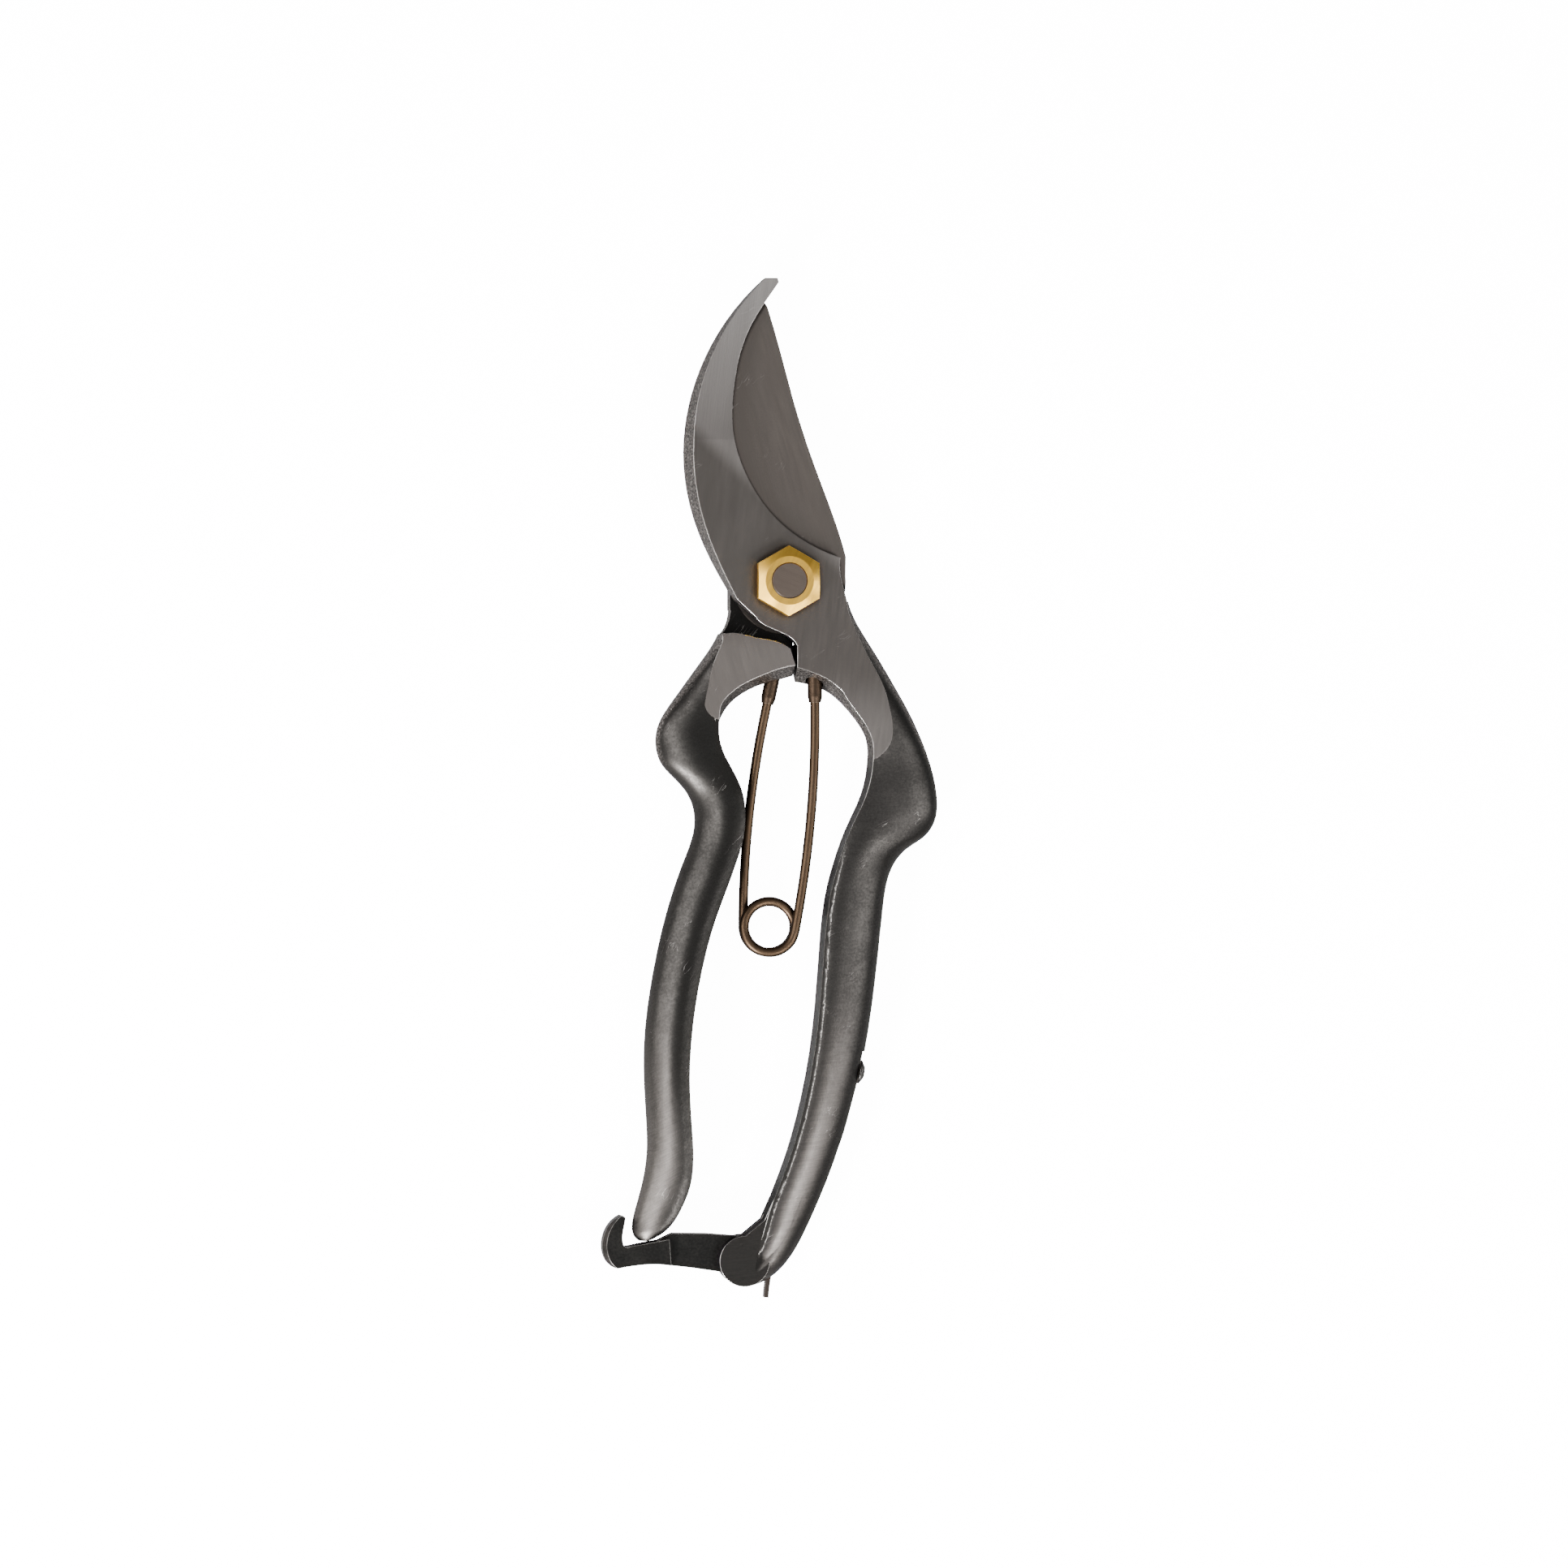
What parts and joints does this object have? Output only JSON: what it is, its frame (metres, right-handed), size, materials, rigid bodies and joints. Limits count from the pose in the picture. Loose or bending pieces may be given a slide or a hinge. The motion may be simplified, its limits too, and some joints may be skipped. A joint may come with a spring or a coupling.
{
  "type": "pruning shears",
  "caption": "Forged steel bypass pruning shears with a ground hook and blade, hex nut pivot, bent wire spring and swinging end latch, closed.",
  "frame": {"origin": "on the pivot axis, on the flat rear face of the bolt head", "axes": "+Y along the tool towards the tips, +X towards the handle that carries the latch, +Z out of the nut side"},
  "size_m": [0.0671, 0.2024, 0.0155],
  "materials": {
    "forged_steel": "black forging skin on the handle, fine ground faces on the head",
    "blade_steel": "ground blade with a black forged handle",
    "bolt_steel": "ground flush",
    "nut_brass": "polished",
    "spring_wire": "bronze-brown tempered wire",
    "ferrule_steel": "dark brown oxide",
    "latch_steel": "black oxide",
    "leaf_steel": "tempered strip"
  },
  "bodies": {
    "hook_body": {"hook_half": "forged_steel", "latch_pin": "bolt_steel", "latch_spring": "leaf_steel", "latch_spring_rivet": "bolt_steel"},
    "blade_body": {"blade_half": "blade_steel", "pivot_bolt": "bolt_steel", "pivot_nut": "nut_brass"},
    "spring_right_body": {"spring_right": "spring_wire", "ferrule_right": "ferrule_steel"},
    "spring_left_body": {"spring_left": "spring_wire", "ferrule_left": "ferrule_steel"},
    "latch_body": {"latch": "latch_steel"}
  },
  "joints": [
    {"name": "opening", "type": "hinge", "parent": "hook_body", "child": "blade_body", "pos_m": [0, 0, 0.0065], "axis": [0, 0, -1], "range_deg": [0, 28]},
    {"name": "spring_right_socket", "type": "hinge", "parent": "hook_body", "child": "spring_right_body", "pos_m": [0.00585, -0.0191, 0.00804], "axis": [0, 0, -1], "range_deg": [0, 13]},
    {"name": "spring_coil", "type": "hinge", "parent": "spring_right_body", "child": "spring_left_body", "pos_m": [-0.0031, -0.0686, 0.0065], "axis": [0, 0, 1], "range_deg": [0, 10.7]},
    {"name": "latch_turn", "type": "hinge", "parent": "hook_body", "child": "latch_body", "pos_m": [-0.0084, -0.1348, 0.0065], "axis": [0, 0, 1], "range_deg": [0, 98.1]}
  ],
  "couplings": [
    {"joint": "spring_right_socket", "follows": "opening", "ratio": 0.46},
    {"joint": "spring_coil", "follows": "opening", "ratio": 0.38},
    {"joint": "latch_turn", "follows": "opening", "ratio": 3.5}
  ]
}
